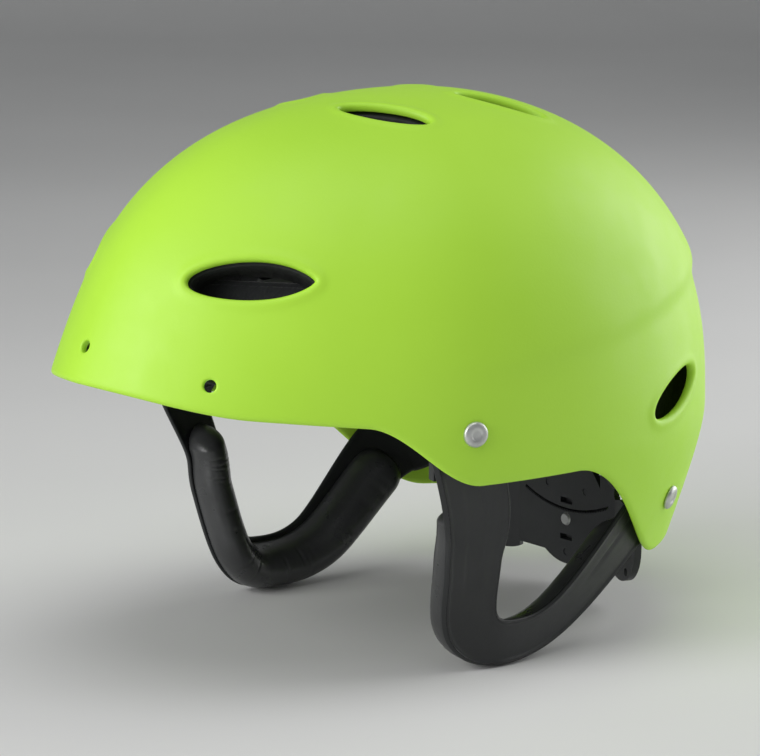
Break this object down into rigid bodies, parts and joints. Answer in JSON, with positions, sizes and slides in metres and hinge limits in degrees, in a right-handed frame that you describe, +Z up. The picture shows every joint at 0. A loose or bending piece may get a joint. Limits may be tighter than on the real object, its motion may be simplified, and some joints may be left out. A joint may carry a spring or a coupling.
{
  "type": "water sports helmet",
  "caption": "Vented hard-shell water helmet with a short peak, foam liner, looped ear guards, dial-adjusted nape cradle and buckled chin strap.",
  "frame": {"origin": "centre of the head space, on the middle plane, level with the tops of the ears", "axes": "+X is the wearer's left, -Y is the front (the peak), +Z is up"},
  "size_m": [0.2158, 0.2957, 0.2202],
  "materials": {
    "shell": "satin fluorescent yellow-green",
    "steel": "satin",
    "guard": "matt moulded",
    "bead": "satin skin over foam",
    "liner": "closed-cell foam",
    "pad": "brushed knit over foam",
    "webbing": "woven",
    "cradle": "moulded",
    "buckle": "moulded"
  },
  "bodies": {
    "helmet": {"outer_shell": "shell", "shell_rivets": "steel", "rivet_washers": "steel", "impact_liner": "liner", "brow_pad": "pad", "crown_pad": "pad", "side_pad_left": "pad", "side_pad_right": "pad", "ear_guard_left": "guard", "ear_guard_right": "guard", "ear_bead_left": "bead", "ear_bead_right": "bead", "strap_plate_left": "buckle", "strap_plate_right": "buckle", "cradle_bracket": "cradle", "cradle_pins": "steel"},
    "cradle": {"cradle_plate": "cradle", "dial_housing": "cradle"},
    "dial": {"dial_knob": "cradle", "dial_pinion": "cradle", "dial_screw": "steel", "axle_rivet": "steel"},
    "rack_left": {"rack_left": "cradle"},
    "rack_right": {"rack_right": "cradle"},
    "strap_left": {"chin_strap_left": "webbing", "buckle_female": "buckle"},
    "strap_right": {"chin_strap_right": "webbing", "buckle_male": "buckle"},
    "adjuster": {"strap_adjuster": "buckle"}
  },
  "joints": [
    {"name": "cradle_tilt", "type": "hinge", "parent": "helmet", "child": "cradle", "pos_m": [0, 0.0915, -0.028], "axis": [1, 0, 0], "range_deg": [-5, 10]},
    {"name": "dial_turn", "type": "hinge", "parent": "cradle", "child": "dial", "pos_m": [0, 0.1, -0.061], "axis": [0, 1, 0], "range_deg": [-120, 120]},
    {"name": "rack_left_slide", "type": "hinge", "parent": "cradle", "child": "rack_left", "pos_m": [0, 0.0943, 0.009], "axis": [0, 1, 0], "range_deg": [-6.5, 6.5]},
    {"name": "rack_right_slide", "type": "hinge", "parent": "cradle", "child": "rack_right", "pos_m": [0, 0.0943, 0.009], "axis": [0, 1, 0], "range_deg": [-7, 7]},
    {"name": "strap_left_swing", "type": "hinge", "parent": "helmet", "child": "strap_left", "pos_m": [0.09091, -0.042, -0.0056], "axis": [-0.2721, -0.9623, 0], "range_deg": [0, 90]},
    {"name": "strap_right_swing", "type": "hinge", "parent": "helmet", "child": "strap_right", "pos_m": [-0.09091, -0.042, -0.0056], "axis": [-0.2721, 0.9623, 0], "range_deg": [0, 90]},
    {"name": "adjuster_slide", "type": "slide", "parent": "strap_left", "child": "adjuster", "axis": [-0.5656, 0.1599, 0.809], "range_m": [-0.012, 0.012]}
  ],
  "couplings": [
    {"joint": "rack_left_slide", "follows": "dial_turn", "ratio": 0.047619},
    {"joint": "rack_right_slide", "follows": "dial_turn", "ratio": -0.052632}
  ]
}
